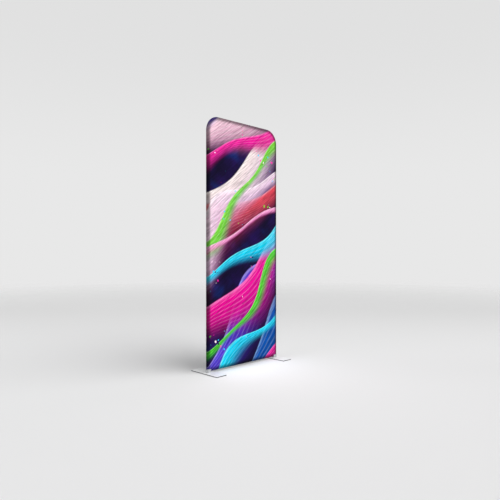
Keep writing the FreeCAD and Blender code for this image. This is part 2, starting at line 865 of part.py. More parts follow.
def cloth(label, turn):
    """One face of the cover: a flat sheet that rolls round the tubes to the middle of the edges."""
    body = new_body(label)
    flat = new_sketch(body, "flat", "XZ_Plane", cloth_inside)
    trace(
        flat,
        (-notch_x, rail_z),
        ((notch_x, rail_z),),
        ((notch_x, notch_z),),
        ((pole_x, notch_z),),
        ((pole_x, corner_z),),
        ((corner_x, corner_z),),
        ((corner_x, top_z),),
        ((-corner_x, top_z),),
        ((-corner_x, corner_z),),
        ((-pole_x, corner_z),),
        ((-pole_x, notch_z),),
        ((-notch_x, notch_z),),
    )
    pad(body, flat, S.cloth_thickness)
    top = new_sketch(body, "top", "YZ_Plane")
    quarter(top, (NIL, top_z), 0, 1)
    pad(body, top, corner_x * 2, both=True)
    low = new_sketch(body, "low", "YZ_Plane")
    quarter(low, (NIL, rail_z), 0, -1)
    pad(body, low, notch_x * 2, both=True)
    for name, hand in (("left", -1), ("right", 1)):
        edge = new_sketch(body, name + "_edge", "XY_Plane", notch_z)
        quarter(edge, (pole_x * hand, NIL), hand, 0)
        pad(body, edge, corner_z - notch_z)
        corner = new_sketch(body, name + "_corner", "YZ_Plane", corner_x * hand, NIL, corner_z)
        trace(
            corner,
            (-cloth_outside, NIL),
            ((-cloth_outside, bend_radius),),
            ((NIL, bend_radius + cloth_outside), (NIL, bend_radius), False),
            ((NIL, bend_radius + cloth_inside),),
            ((-cloth_inside, bend_radius), (NIL, bend_radius), True),
            ((-cloth_inside, NIL),),
        )
        spin(body, corner, "H_Axis", 90, back=hand < 0)
    if label == "rear_panel":
        slot = new_sketch(body, "slot", "XZ_Plane")
        high = S.zip_height + S.zip_opening / 2
        rectangle(slot, -zip_half, zip_half, S.zip_height - S.zip_opening / 2, high)
        cut(body, slot, cloth_outside * 2)
    place(body, turn=turn)
    nodes.append(body)


def zip_line():
    """Two tapes behind the slot in the rear cloth, and the closed coil between them."""
    half_coil = S.coil_width / 2
    tapes = []
    for name, low in (("tape_upper", half_coil), ("tape_lower", -half_coil - S.tape_width)):
        tapes.append(block(
            name, -zip_half - half_coil, tape_inner_y, S.zip_height + low,
            zip_half * 2 + S.coil_width, S.tape_thickness, S.tape_width,
        ))
    group("zip_tapes", tapes)
    body = new_body("zip_coil")
    end = slider_x + S.slider_length / 2 - S.slider_post - S.slider_gap
    sketch = new_sketch(body, "section", "YZ_Plane", -zip_half)
    chamfer = S.coil_thickness * COIL_CHAMFER_SHARE
    trace(
        sketch,
        (tape_inner_y, -half_coil),
        ((tape_inner_y, half_coil),),
        ((coil_outer_y - chamfer, half_coil),),
        ((coil_outer_y, half_coil - chamfer),),
        ((coil_outer_y, chamfer - half_coil),),
        ((coil_outer_y - chamfer, -half_coil),),
    )
    pad(body, sketch, zip_half + end)
    place(body, z=S.zip_height)
    nodes.append(body)


def zip_stops():
    """A clip over each end of the zip, seated on both tapes, where the slider's run ends."""
    inside = S.coil_width / 2 + S.stop_gap
    outside = inside + S.stop_wall
    seat = tape_inner_y + S.tape_thickness
    roof = coil_outer_y + S.stop_gap
    stops = []
    for name, hand in (("stop_left", -1), ("stop_right", 1)):
        body = new_body(name)
        sketch = new_sketch(body, "section", "YZ_Plane", -S.stop_length / 2)
        trace(
            sketch,
            (seat, -outside),
            ((roof + S.stop_wall, -outside),),
            ((roof + S.stop_wall, outside),),
            ((seat, outside),),
            ((seat, inside),),
            ((roof, inside),),
            ((roof, -inside),),
            ((seat, -inside),),
        )
        pad(body, sketch, S.stop_length)
        place(body, (zip_half - S.stop_inset) * hand, NIL, S.zip_height)
        stops.append(body)
    group("zip_stops", stops)


def zip_slider():
    """Two plates round the coil, joined by a post at the leading end, with a bridge for the pull."""
    body = new_body("zip_slider")
    half, side = S.slider_length / 2, S.slider_width / 2
    outer_low = coil_outer_y + S.slider_gap
    outer_top = outer_low + S.slider_plate
    inner_top = tape_inner_y - S.slider_gap
    plate = new_sketch(body, "outer", "XZ_Plane", -outer_low)
    rounded(plate, -half, half, -side, side, S.slider_lip)
    pad(body, plate, S.slider_plate, back=True)
    post = new_sketch(body, "post", "XZ_Plane", -inner_top)
    rectangle(post, half - S.slider_post, half, -S.slider_lip, S.slider_lip)
    pad(body, post, outer_low - inner_top, back=True)
    inner = new_sketch(body, "inner", "XZ_Plane", -inner_top)
    rounded(inner, -half, half, -side, side, S.slider_lip)
    pad(body, inner, S.slider_plate)
    lip_low = cloth_inside + S.slider_gap
    lips = new_sketch(body, "lips", "XZ_Plane", -lip_low)
    rectangle(lips, S.slider_lip - half, half - S.slider_lip, side - S.slider_lip, side)
    rectangle(lips, S.slider_lip - half, half - S.slider_lip, -side, S.slider_lip - side)
    pad(body, lips, outer_low - lip_low, back=True)
    span = S.bridge_span / 2
    feet = new_sketch(body, "bridge_posts", "XZ_Plane", -outer_top)
    for low, high in ((-span, S.bridge_post - span), (span - S.bridge_post, span)):
        rectangle(feet, low, high, -S.bridge_radius, S.bridge_radius)
    pad(body, feet, S.bridge_rise + S.bridge_radius, back=True)
    bar = new_sketch(body, "bridge", "YZ_Plane")
    ring(bar, S.bridge_radius, (bridge_y, NIL))
    pad(body, bar, S.bridge_span - S.bridge_post, both=True)
    place(body, slider_x, NIL, S.zip_height)
    nodes.append(body)


def zip_pull():
    """A tab with an eye round the slider's bridge; it hangs straight down."""
    body = new_body("zip_pull")
    eye = S.bridge_radius + S.pull_gap
    half = S.pull_width / 2
    outside = new_sketch(body, "eye", "YZ_Plane")
    ring(outside, eye + S.pull_eye_wall)
    pad(body, outside, S.pull_width, both=True)
    tab = new_sketch(body, "tab", "XZ_Plane")
    rounded(tab, -half, half, -S.pull_length, NIL, S.pull_width * PULL_CORNER_SHARE)
    pad(body, tab, S.pull_thickness, both=True)
    hole = new_sketch(body, "bore", "YZ_Plane")
    ring(hole, eye)
    cut(body, hole, S.pull_width * 2, both=True)
    place(body, slider_x, bridge_y, S.zip_height)
    nodes.append(body)


for side, hand, turn in SIDES:
    lower_pole(side, hand, turn)
    upper_pole(side, hand, turn)
    corner_block(side, hand, turn)
    foot(side, hand, turn)
    pivot(side, hand, turn)
top_rail()
bottom_rail()
snap_joints()
power_inlet()
light()
leads()
lead_clips()
cloth("front_print", STRAIGHT)
cloth("rear_panel", HALF_TURN)
zip_line()
zip_stops()
zip_slider()
zip_pull()
doc.recompute()

faults = [item.Name for item in doc.Objects if "Invalid" in item.State or "Error" in item.State]
faults += [item.Label for item in nodes if item.Shape.isNull() or not item.Shape.isValid()]
if faults:
    raise SystemExit("not sound: " + ", ".join(faults))
os.makedirs("parts", exist_ok=True)
for item in nodes:
    item.Shape.exportStep("parts/%s.step" % item.Label)
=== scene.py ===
import json
import math

import bmesh
import bpy
from mathutils import Matrix, Vector


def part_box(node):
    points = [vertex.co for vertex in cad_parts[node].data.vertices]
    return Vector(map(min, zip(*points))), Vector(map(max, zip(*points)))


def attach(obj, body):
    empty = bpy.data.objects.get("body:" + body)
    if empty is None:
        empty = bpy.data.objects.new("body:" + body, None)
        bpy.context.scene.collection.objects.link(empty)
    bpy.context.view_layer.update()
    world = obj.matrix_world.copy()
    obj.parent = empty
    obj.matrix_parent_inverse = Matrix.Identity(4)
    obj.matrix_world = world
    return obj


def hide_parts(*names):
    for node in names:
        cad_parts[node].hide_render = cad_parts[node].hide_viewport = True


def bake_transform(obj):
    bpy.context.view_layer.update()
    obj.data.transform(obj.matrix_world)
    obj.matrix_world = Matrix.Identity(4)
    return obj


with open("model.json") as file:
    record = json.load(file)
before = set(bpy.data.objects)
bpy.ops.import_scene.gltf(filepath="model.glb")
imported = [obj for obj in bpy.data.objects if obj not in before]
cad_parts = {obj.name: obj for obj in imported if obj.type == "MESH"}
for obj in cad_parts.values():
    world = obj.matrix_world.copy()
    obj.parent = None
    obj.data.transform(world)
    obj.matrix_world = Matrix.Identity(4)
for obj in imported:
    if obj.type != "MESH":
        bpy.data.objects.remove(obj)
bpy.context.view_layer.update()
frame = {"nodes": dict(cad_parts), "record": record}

scene = bpy.context.scene
solids = frame["nodes"]

# Sizes of the cover in metres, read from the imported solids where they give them.
cover_low, cover_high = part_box("front_print")
half_width = cover_high.x
cover_top = cover_high.z
cover_base = cover_low.z
cover_middle = (cover_top + cover_base) / 2
roll = -cover_low.y
corner_bend = 0.150
bend_x = half_width - corner_bend
bend_z = cover_top - corner_bend
cloth_thickness = 0.0006
knit_loop = 0.0011

# The notches at the lower corners reach a little over the bottom rail's ends and the poles' feet.
notch_back = 0.0007
notch_lift = 0.001
notch_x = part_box("bottom_rail")[1].x - notch_back
notch_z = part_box("lower_pole_left")[0].z + notch_lift

# The seam lies this far round the tubes from the middle of the edge towards the rear.
seam_turn = math.radians(60)

# How far inside the outline the tubes keep the light off, where it comes through in full,
# and the share of it that is left over the tubes.
shade_end = 0.016
full_light = 0.050
shade_share = 0.06

# The closed zip and the slot in the rear cloth that shows it.
zip_low, zip_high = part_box("zip_coil")
zip_z = (zip_low.z + zip_high.z) / 2
slot_half = -zip_low.x
slot_gap = 0.011
hem_fold = 0.0060
hem_rise = 0.0006

# Stitches: from one to the next, and the length and radius of one.
SEAM_STITCH = {"pitch": 0.0042, "length": 0.0028, "radius": 0.00030}
ZIP_STITCH = {"pitch": 0.0034, "length": 0.0023, "radius": 0.00028}

# How far the stitches lie from the seam, and how far short of a notch or a crossing row a row stops.
stitch_inset = 0.0028
stitch_end = 0.003


# Colours and node trees

def tint(red, green, blue):
    """A colour in screen numbers up to 255, as the light that a shader takes."""
    parts = []
    for level in (red, green, blue):
        share = level / 255
        parts.append(share / 12.92 if share <= 0.04045 else ((share + 0.055) / 1.055) ** 2.4)
    return (*parts, 1.0)


class Tree:
    """Lays out the nodes of one material or group."""

    def __init__(self, tree):
        self.tree = tree

    def add(self, kind, inputs=(), **settings):
        """A new node with its settings and inputs, each a number, a colour or another node's output."""
        node = self.tree.nodes.new("ShaderNode" + kind)
        for name, value in settings.items():
            setattr(node, name, value)
        for key, value in dict(inputs).items():
            self.feed(node.inputs[key], value)
        return node

    def feed(self, socket, value):
        if isinstance(value, bpy.types.NodeSocket):
            self.tree.links.new(value, socket)
        else:
            socket.default_value = value

    def sum(self, operation, *values, clamp=False):
        return self.add("Math", dict(enumerate(values)), operation=operation, use_clamp=clamp).outputs[0]

    def ease(self, value, start, end, low=0.0, high=1.0):
        """Runs smoothly from low to high as the value goes from start to end."""
        inputs = {"Value": value, "From Min": start, "From Max": end, "To Min": low, "To Max": high}
        return self.add("MapRange", inputs, interpolation_type="SMOOTHSTEP").outputs["Result"]

    def mix(self, share, first, second, blend="MIX"):
        node = self.add("Mix", {0: share, 6: first, 7: second}, data_type="RGBA", blend_type=blend)
        return node.outputs[2]

    def dim(self, colour, value):
        """The colour times a value."""
        grey = self.add("CombineColor", {"Red": value, "Green": value, "Blue": value}).outputs[0]
        return self.mix(1.0, colour, grey, "MULTIPLY")

    def noise(self, vector, scale, detail=2.0, roughness=0.5):
        inputs = {"Vector": vector, "Scale": scale, "Detail": detail, "Roughness": roughness}
        return self.add("TexNoise", inputs).outputs["Fac"]

    def object_place(self):
        return self.add("TexCoord").outputs["Object"]

    def cloth_place(self):
        return self.add("UVMap", uv_map="cloth").outputs["UV"]

    def stretched(self, vector, scale):
        return self.add("Mapping", {"Vector": vector, "Scale": scale}).outputs["Vector"]

    def parts(self, vector):
        return self.add("SeparateXYZ", {"Vector": vector}).outputs

    def flat_place(self, across, up):
        return self.add("CombineXYZ", {"X": across, "Y": up}).outputs[0]

    def use(self, group, inputs):
        node = self.add("Group", node_tree=group)
        for key, value in inputs.items():
            self.feed(node.inputs[key], value)
        return node.outputs

    def bump(self, shader, height, strength, distance):
        node = self.add("Bump", {"Height": height, "Strength": strength, "Distance": distance})
        self.feed(shader.inputs["Normal"], node.outputs["Normal"])


def new_group(name, inputs, outputs):
    """An empty shader group; its input named Place is a vector, and the rest are plain numbers."""
    group = bpy.data.node_groups.new(name, "ShaderNodeTree")
    for label in inputs:
        kind = "NodeSocketVector" if label == "Place" else "NodeSocketFloat"
        group.interface.new_socket(name=label, in_out="INPUT", socket_type=kind)
    for label in outputs:
        group.interface.new_socket(name=label, in_out="OUTPUT", socket_type="NodeSocketFloat")
    build = Tree(group)
    given = group.nodes.new("NodeGroupInput").outputs
    wanted = group.nodes.new("NodeGroupOutput").inputs
    return group, build, given, wanted


def new_material(name, **sockets):
    """A Principled material with its plain numbers set on the shader's own sockets."""
    material = bpy.data.materials.new(name)
    material.use_nodes = True
    material.node_tree.nodes.clear()
    build = Tree(material.node_tree)
    shader = build.add("BsdfPrincipled")
    for key, value in sockets.items():
        shader.inputs[key.replace("_", " ").title().replace("Ior", "IOR")].default_value = value
    build.add("OutputMaterial", {"Surface": shader.outputs[0]})
    return material, build, shader


# Effects that several finishes share

def knit_group():
    """Rows of small loops, each row set half a loop along, and the uneven tone of yarn."""
    group, build, given, wanted = new_group("knit", ("Place", "Loop"), ("Height", "Tone"))
    place = build.parts(given["Place"])
    across = build.sum("DIVIDE", place["X"], given["Loop"])
    along = build.sum("DIVIDE", place["Y"], given["Loop"])
    shift = build.sum("MULTIPLY", build.sum("FLOOR", across), 0.5)
    rib = build.sum("ABSOLUTE", build.sum("SINE", build.sum("MULTIPLY", across, math.pi)))
    row = build.sum("MULTIPLY", build.sum("ADD", along, shift), math.pi)
    loop = build.sum("ABSOLUTE", build.sum("SINE", row))
    build.feed(wanted["Height"], build.sum("MULTIPLY", rib, loop))
    yarn = build.noise(build.stretched(given["Place"], (900.0, 60.0, 1.0)), scale=1.0)
    build.feed(wanted["Tone"], build.ease(yarn, 0.25, 0.75, low=0.93))
    return group


def grain_group():
    """The fine peel of a coat of powder, and scattered brighter flakes."""
    group, build, given, wanted = new_group("coat_grain", ("Place", "Size"), ("Height", "Flake"))
    scale = build.sum("DIVIDE", 1.0, given["Size"])
    build.feed(wanted["Height"], build.noise(given["Place"], scale, detail=3.0, roughness=0.55))
    flakes = build.sum("MULTIPLY", scale, 2.5)
    cells = build.add("TexVoronoi", {"Vector": given["Place"], "Scale": flakes})
    spark = build.parts(cells.outputs["Color"])["X"]
    build.feed(wanted["Flake"], build.ease(spark, 0.80, 0.96))
    return group


def marks_group():
    """Cloudy marks from handling, and a thin scatter of short scuffs."""
    group, build, given, wanted = new_group("handling", ("Place", "Size"), ("Cloud", "Scuff"))
    scale = build.sum("DIVIDE", 1.0, given["Size"])
    cloud = build.noise(given["Place"], scale, detail=4.0, roughness=0.6)
    build.feed(wanted["Cloud"], build.ease(cloud, 0.35, 0.70))
    fine = build.sum("MULTIPLY", scale, 9.0)
    line = build.noise(build.stretched(given["Place"], (1.0, 0.12, 0.5)), fine, roughness=0.7)
    thin = build.ease(line, 0.665, 0.70)
    build.feed(wanted["Scuff"], build.sum("MULTIPLY", thin, build.ease(cloud, 0.50, 0.62)))
    return group


def drawn_group():
    """Lines that a die or a brush leaves along a metal part; Place is already stretched along them."""
    group, build, given, wanted = new_group("drawn_lines", ("Place", "Size"), ("Line", "Height"))
    scale = build.sum("DIVIDE", 1.0, given["Size"])
    line = build.noise(given["Place"], scale, detail=3.0, roughness=0.65)
    build.feed(wanted["Line"], build.ease(line, 0.30, 0.72))
    build.feed(wanted["Height"], line)
    return group


def edge_group():
    """How far inside the cover's outline a point is, in metres; the top corners are round."""
    group, build, given, wanted = new_group("from_edge", ("Place",), ("Distance",))
    place = build.parts(given["Place"])
    across = build.sum("SUBTRACT", build.sum("ABSOLUTE", place["X"]), bend_x)
    up = build.sum("SUBTRACT", place["Z"], bend_z)
    beyond_x = build.sum("MAXIMUM", across, 0.0)
    beyond_z = build.sum("MAXIMUM", up, 0.0)
    squares = build.sum("MULTIPLY_ADD", beyond_x, beyond_x, build.sum("MULTIPLY", beyond_z, beyond_z))
    inner = build.sum("MINIMUM", build.sum("MAXIMUM", across, up), 0.0)
    rounded = build.sum("SUBTRACT", corner_bend, build.sum("ADD", build.sum("SQRT", squares), inner))
    above = build.sum("SUBTRACT", place["Z"], cover_base)
    build.feed(wanted["Distance"], build.sum("MINIMUM", rounded, above))
    return group


def ribbon_group():
    """One ribbon of the print: it swings about a line, and is crisp on one side and faded on the other."""
    inputs = ("Along", "Across", "Offset", "Swing", "Pace", "Phase", "Half", "Strands")
    group, build, given, wanted = new_group("print_ribbon", inputs, ("Cover", "Share", "Gleam"))
    quick_pace, quick_share = 2.3, 0.32
    swell_pace, swell_phase = 1.4, 1.1
    swell_share, mean_share = 0.36, 0.70
    drift, sharpness, strand_share = 2.0, 9.0, 0.42
    turn = build.sum("MULTIPLY_ADD", given["Along"], given["Pace"], given["Phase"])
    slow = build.sum("SINE", turn)
    quick = build.sum("SINE", build.sum("MULTIPLY_ADD", turn, quick_pace, given["Offset"]))
    swing = build.sum("MULTIPLY", given["Swing"], build.sum("MULTIPLY_ADD", quick, quick_share, slow))
    line = build.sum("ADD", given["Offset"], swing)
    swell = build.sum("SINE", build.sum("MULTIPLY_ADD", turn, swell_pace, swell_phase))
    width = build.sum("MULTIPLY_ADD", swell, swell_share, mean_share)
    half = build.sum("MULTIPLY", given["Half"], width)
    place = build.sum("DIVIDE", build.sum("SUBTRACT", given["Across"], line), half)
    crisp = build.ease(place, 1.0, 0.955)
    fade = build.ease(place, -1.0, 0.35)
    cover = build.sum("MULTIPLY", crisp, fade)
    build.feed(wanted["Cover"], cover)
    build.feed(wanted["Share"], build.sum("MULTIPLY_ADD", place, 0.5, 0.5, clamp=True))
    weave = build.sum("MULTIPLY_ADD", place, given["Strands"], build.sum("MULTIPLY", slow, drift))
    strand = build.sum("POWER", build.sum("ABSOLUTE", build.sum("SINE", weave)), sharpness)
    rim = build.ease(place, 0.80, 0.985)
    shine = build.sum("MULTIPLY_ADD", strand, strand_share, rim, clamp=True)
    build.feed(wanted["Gleam"], build.sum("MULTIPLY", shine, cover))
    return group


knit = knit_group()
coat_grain = grain_group()
handling = marks_group()
drawn_lines = drawn_group()
from_edge = edge_group()
print_ribbon = ribbon_group()


# The printed design

# Ribbons from the back one to the front one, in metres and radians along and across their lean:
# offset, swing, pace, phase, half width, strands, the colours of its faded and crisp sides, opacity.
RIBBONS = (
    (-1.16, 0.10, 2.6, 0.4, 0.36, 16, (6, 22, 80), (0, 84, 176), 0.95),
    (1.02, 0.12, 2.1, 2.6, 0.38, 18, (150, 40, 120), (252, 212, 226), 0.96),
    (-0.70, 0.14, 2.4, 1.2, 0.32, 17, (40, 8, 104), (84, 60, 214), 0.92),
    (0.56, 0.17, 2.2, 4.0, 0.30, 16, (150, 90, 170), (253, 236, 232), 0.96),
    (0.02, 0.24, 1.7, 1.5, 0.40, 26, (60, 0, 60), (232, 58, 74), 0.92),
    (-0.36, 0.20, 2.0, 5.3, 0.30, 20, (90, 0, 92), (246, 0, 152), 0.97),
    (0.22, 0.18, 2.7, 0.9, 0.22, 15, (190, 130, 190), (250, 226, 240), 0.94),
    (-0.98, 0.12, 2.9, 3.3, 0.15, 11, (0, 92, 140), (0, 225, 255), 0.94),
    (0.80, 0.16, 2.4, 1.9, 0.19, 13, (130, 0, 104), (250, 8, 156), 0.96),
    (-0.08, 0.15, 2.5, 3.9, 0.13, 9, (0, 120, 190), (20, 225, 250), 0.94),
    (-0.54, 0.13, 3.0, 0.2, 0.085, 6, (20, 130, 40), (70, 214, 30), 0.95),
    (0.40, 0.15, 2.8, 5.7, 0.10, 7, (30, 150, 40), (120, 226, 40), 0.94),
    (1.16, 0.10, 3.1, 0.6, 0.10, 7, (60, 40, 170), (150, 110, 240), 0.88),
    (0.06, 0.16, 2.3, 2.3, 0.060, 5, (220, 60, 170), (255, 180, 222), 0.92),
    (-1.22, 0.11, 2.2, 4.4, 0.12, 8, (150, 0, 104), (250, 16, 158), 0.93),
)
ribbon_lean = math.radians(36)
pale_share = 0.55
gleam_share = 0.66

# How much of its colour the print shows by the light that falls on it.
dye_share = 0.28

# Flecks over the ribbons: cells to the metre, the largest fleck as a share of its cell, colour.
FLECKS = (
    (23.0, 0.30, (240, 24, 160)),
    (19.0, 0.28, (250, 226, 238)),
    (27.0, 0.30, (30, 200, 250)),
    (21.0, 0.26, (22, 10, 52)),
    (16.0, 0.24, (96, 220, 40)),
)
empty_share = 0.66
ragged_reach = 0.03


def print_ground(build, flat):
    """A dark cloudy ground with a blue haze."""
    cloud = build.ease(build.noise(flat, scale=2.2, detail=3.0, roughness=0.55), 0.35, 0.72)
    colour = build.mix(cloud, tint(14, 6, 40), tint(34, 14, 80))
    haze = build.ease(build.noise(flat, scale=3.1), 0.52, 0.80)
    return build.mix(haze, colour, tint(12, 44, 112))


def lean_over(build, parts):
    """How far a point lies along and across the ribbons' lean, from the middle of the cover."""
    lift = build.sum("SUBTRACT", parts["Z"], cover_middle)
    level, steep = math.cos(ribbon_lean), math.sin(ribbon_lean)
    along = build.sum("MULTIPLY_ADD", parts["X"], level, build.sum("MULTIPLY", lift, steep))
    across = build.sum("MULTIPLY_ADD", parts["X"], -steep, build.sum("MULTIPLY", lift, level))
    return along, across


def lay_ribbons(build, colour, along, across):
    """The ribbons over the ground, each with paler strands."""
    for offset, swing, pace, phase, half, strands, faded, crisp, opacity in RIBBONS:
        ribbon = build.use(print_ribbon, {
            "Along": along, "Across": across, "Offset": offset, "Swing": swing,
            "Pace": pace, "Phase": phase, "Half": half, "Strands": strands,
        })
        shade = build.mix(ribbon["Share"], tint(*faded), tint(*crisp))
        pale = tint(*(level + (255 - level) * pale_share for level in crisp))
        shade = build.mix(build.sum("MULTIPLY", ribbon["Gleam"], gleam_share), shade, pale)
        colour = build.mix(build.sum("MULTIPLY", ribbon["Cover"], opacity), colour, shade)
    return colour


def brush_over(build, colour, along, across):
    """Bristle marks along the lean."""
    path = build.stretched(build.flat_place(along, across), (5.0, 80.0, 1.0))
    bristles = build.noise(path, scale=1.0, detail=7.0, roughness=0.70)
    return build.dim(colour, build.ease(bristles, 0.37, 0.61, low=0.54))


def scatter_flecks(build, colour, flat):
    """Flecks with ragged edges, in patches."""
    patch = build.ease(build.noise(flat, scale=2.6), 0.53, 0.60)
    stray = build.add("TexNoise", {"Vector": flat, "Scale": 65.0, "Detail": 3.0}).outputs["Color"]
    inputs = {0: stray, 1: (ragged_reach, ragged_reach, 0.0), 2: flat}
    ragged = build.add("VectorMath", inputs, operation="MULTIPLY_ADD").outputs[0]
    for scale, most, fleck in FLECKS:
        cells = build.add("TexVoronoi", {"Vector": ragged, "Scale": scale}).outputs
        pick = build.parts(cells["Color"])
        size = build.sum("MULTIPLY", pick["X"], most)
        dot = build.ease(cells["Distance"], size, build.sum("MULTIPLY", size, 0.75))
        shown = build.sum("MULTIPLY", dot, build.sum("GREATER_THAN", pick["Y"], empty_share))
        colour = build.mix(build.sum("MULTIPLY", shown, patch), colour, tint(*fleck))
    return colour


# Finishes

def print_finish():
    """Knit cloth with the printed design, lit from behind between the tubes; its inside is plain white."""
    material, build, shader = new_material(
        "print_cloth", roughness=0.80, specular_ior_level=0.06, emission_strength=1.0)
    place = build.object_place()
    parts = build.parts(place)
    flat = build.flat_place(parts["X"], parts["Z"])
    along, across = lean_over(build, parts)
    colour = lay_ribbons(build, print_ground(build, flat), along, across)
    colour = brush_over(build, colour, along, across)
    colour = scatter_flecks(build, colour, flat)
    yarn = build.use(knit, {"Place": build.cloth_place(), "Loop": knit_loop})
    colour = build.dim(colour, yarn["Tone"])
    distance = build.use(from_edge, {"Place": place})["Distance"]
    light = build.ease(distance, shade_end, full_light, low=shade_share)
    # The inside of the cloth is the side that faces the rear.
    normal = build.parts(build.add("NewGeometry").outputs["True Normal"])
    outside = build.ease(normal["Y"], 0.9, 0.6)
    inner_white, inner_glow = tint(225, 225, 226), tint(131, 131, 131)
    dyed = build.dim(colour, dye_share)
    build.feed(shader.inputs["Base Color"], build.mix(outside, inner_white, dyed))
    glow = build.dim(colour, light)
    build.feed(shader.inputs["Emission Color"], build.mix(outside, inner_glow, glow))
    build.bump(shader, yarn["Height"], strength=0.25, distance=0.0002)
    return material


def rear_finish():
    """Plain white knit with an opaque lining, tight over the tubes and a little sunk between them."""
    material, build, shader = new_material(
        "rear_cloth", roughness=0.86, sheen_weight=0.20, specular_ior_level=0.25)
    place = build.object_place()
    yarn = build.use(knit, {"Place": build.cloth_place(), "Loop": knit_loop})
    marks = build.use(handling, {"Place": place, "Size": 0.45})
    colour = build.mix(marks["Cloud"], tint(238, 238, 240), tint(235, 236, 238))
    build.feed(shader.inputs["Base Color"], build.dim(colour, yarn["Tone"]))
    pull = build.noise(build.stretched(place, (1.0, 1.0, 0.22)), scale=26.0)
    distance = build.use(from_edge, {"Place": place})["Distance"]
    sink_start, sink_end, sink_depth = 0.012, 0.044, 9.0
    sunk = build.ease(distance, sink_start, sink_end, low=sink_depth, high=0.0)
    pull_depth = 2.5
    height = build.sum("ADD", build.sum("MULTIPLY_ADD", pull, pull_depth, yarn["Height"]), sunk)
    build.bump(shader, height, strength=0.30, distance=0.0003)
    return material


def tape_finish(name, low, high):
    """Close-woven tape or thread."""
    material, build, shader = new_material(
        name, roughness=0.80, sheen_weight=0.15, specular_ior_level=0.30)
    inputs = {"Vector": build.object_place(), "Scale": 420.0, "Distortion": 1.2, "Detail": 1.0}
    rows = build.add("TexWave", inputs, bands_direction="DIAGONAL").outputs["Fac"]
    build.feed(shader.inputs["Base Color"], build.mix(rows, low, high))
    build.bump(shader, rows, strength=0.35, distance=0.0002)
    return material


def coated_finish(name, base, shadow, metallic, roughness, plate=None):
    """A silver powder coat: fine peel, flakes, cloudy marks and a few scuffs.

    On a plate, given by its highest corner, painted shade darkens the side faces, and a darker painted
    shadow line darkens the front and back ends.
    """
    material, build, shader = new_material(name, metallic=metallic)
    place = build.object_place()
    peel = build.use(coat_grain, {"Place": place, "Size": 0.0011})
    marks = build.use(handling, {"Place": place, "Size": 0.085})
    colour = build.mix(marks["Cloud"], base, shadow)
    colour = build.mix(build.sum("MULTIPLY", peel["Flake"], 0.30), colour, tint(250, 250, 252))
    colour = build.mix(build.sum("MULTIPLY", marks["Scuff"], 0.22), colour, tint(146, 148, 152))
    if plate:
        parts = build.parts(place)
        # Painted shade on the plate: its side faces are darker and its front and back ends almost black,
        # standing in for the shadow line along its edges.
        edge_top, edge_shade_clear = plate.z - 0.0009, plate.z - 0.0004
        end_start, end_full = plate.y - 0.007, plate.y - 0.004
        painted_edge_shade = build.ease(parts["Z"], edge_top, edge_shade_clear, low=1.0, high=0.0)
        painted_end_shade = build.ease(build.sum("ABSOLUTE", parts["Y"]), end_start, end_full)
        colour = build.mix(painted_edge_shade, colour, build.mix(painted_end_shade, tint(104, 106, 110), tint(34, 35, 38)))
    build.feed(shader.inputs["Base Color"], colour)
    rough = build.sum("MULTIPLY_ADD", marks["Cloud"], 0.10, roughness)
    build.feed(shader.inputs["Roughness"], build.sum("MULTIPLY_ADD", marks["Scuff"], 0.12, rough))
    build.bump(shader, peel["Height"], strength=0.18, distance=0.0002)
    return material


def metal_finish(name, base, shadow, stretch, size, roughness):
    """Bare or plated metal with lines along one way and a patchy polish."""
    material, build, shader = new_material(name, metallic=1.0)
    place = build.object_place()
    lines = build.use(drawn_lines, {"Place": build.stretched(place, stretch), "Size": size})
    marks = build.use(handling, {"Place": place, "Size": 0.03})
    colour = build.mix(lines["Line"], shadow, base)
    colour = build.mix(build.sum("MULTIPLY", marks["Cloud"], 0.25), colour, shadow)
    build.feed(shader.inputs["Base Color"], colour)
    rough = build.sum("MULTIPLY_ADD", lines["Line"], -0.08, roughness)
    build.feed(shader.inputs["Roughness"], build.sum("MULTIPLY_ADD", marks["Cloud"], 0.08, rough))
    build.bump(shader, lines["Height"], strength=0.10, distance=0.0001)
    return material


def plastic_finish(name, base, shadow, roughness, size=0.0006):
    """Moulded plastic with a spark-eroded texture and faint flow marks."""
    material, build, shader = new_material(name)
    place = build.object_place()
    peel = build.use(coat_grain, {"Place": place, "Size": size})
    marks = build.use(handling, {"Place": place, "Size": 0.02})
    build.feed(shader.inputs["Base Color"], build.mix(marks["Cloud"], base, shadow))
    build.feed(shader.inputs["Roughness"], build.sum("MULTIPLY_ADD", marks["Cloud"], 0.10, roughness))
    build.bump(shader, peel["Height"], strength=0.20, distance=0.0001)
    return material


def mat_finish():
    """Black rubber sheet with fine ribs and a little grey dust."""
    material, build, shader = new_material("mat_rubber", specular_ior_level=0.35)
    place = build.object_place()
    rib_pitch = 0.004
    ribs = build.sum("SINE", build.sum("MULTIPLY", build.parts(place)["X"], 2 * math.pi / rib_pitch))
    marks = build.use(handling, {"Place": place, "Size": 0.04})
    build.feed(shader.inputs["Base Color"], build.mix(marks["Cloud"], tint(30, 30, 32), tint(52, 52, 54)))
    build.feed(shader.inputs["Roughness"], build.sum("MULTIPLY_ADD", marks["Cloud"], 0.12, 0.72))
    build.bump(shader, ribs, strength=0.40, distance=0.0004)
    return material


def board_finish():
    """White circuit board with copper pads in a row under its coat."""
    material, build, shader = new_material("board_white", roughness=0.45)
    place = build.object_place()
    pad_pitch = 0.030
    step = build.sum("SINE", build.sum("MULTIPLY", build.parts(place)["Z"], 2 * math.pi / pad_pitch))
    pads = build.ease(step, 0.90, 0.94)
    colour = build.mix(build.noise(place, scale=60.0), tint(240, 241, 240), tint(228, 230, 229))
    build.feed(shader.inputs["Base Color"], build.mix(pads, colour, tint(196, 188, 160)))
    build.bump(shader, pads, strength=0.2, distance=0.0001)
    return material


def lens_finish():
    """Clear moulded lens with a faint surface ripple."""
    material, build, shader = new_material("lens_clear", roughness=0.06, transmission_weight=0.9, ior=1.49)
    tone = build.noise(build.object_place(), scale=300.0)
    build.feed(shader.inputs["Base Color"], build.mix(tone, tint(248, 250, 252), tint(240, 244, 248)))
    build.bump(shader, tone, strength=0.05, distance=0.0001)
    return material


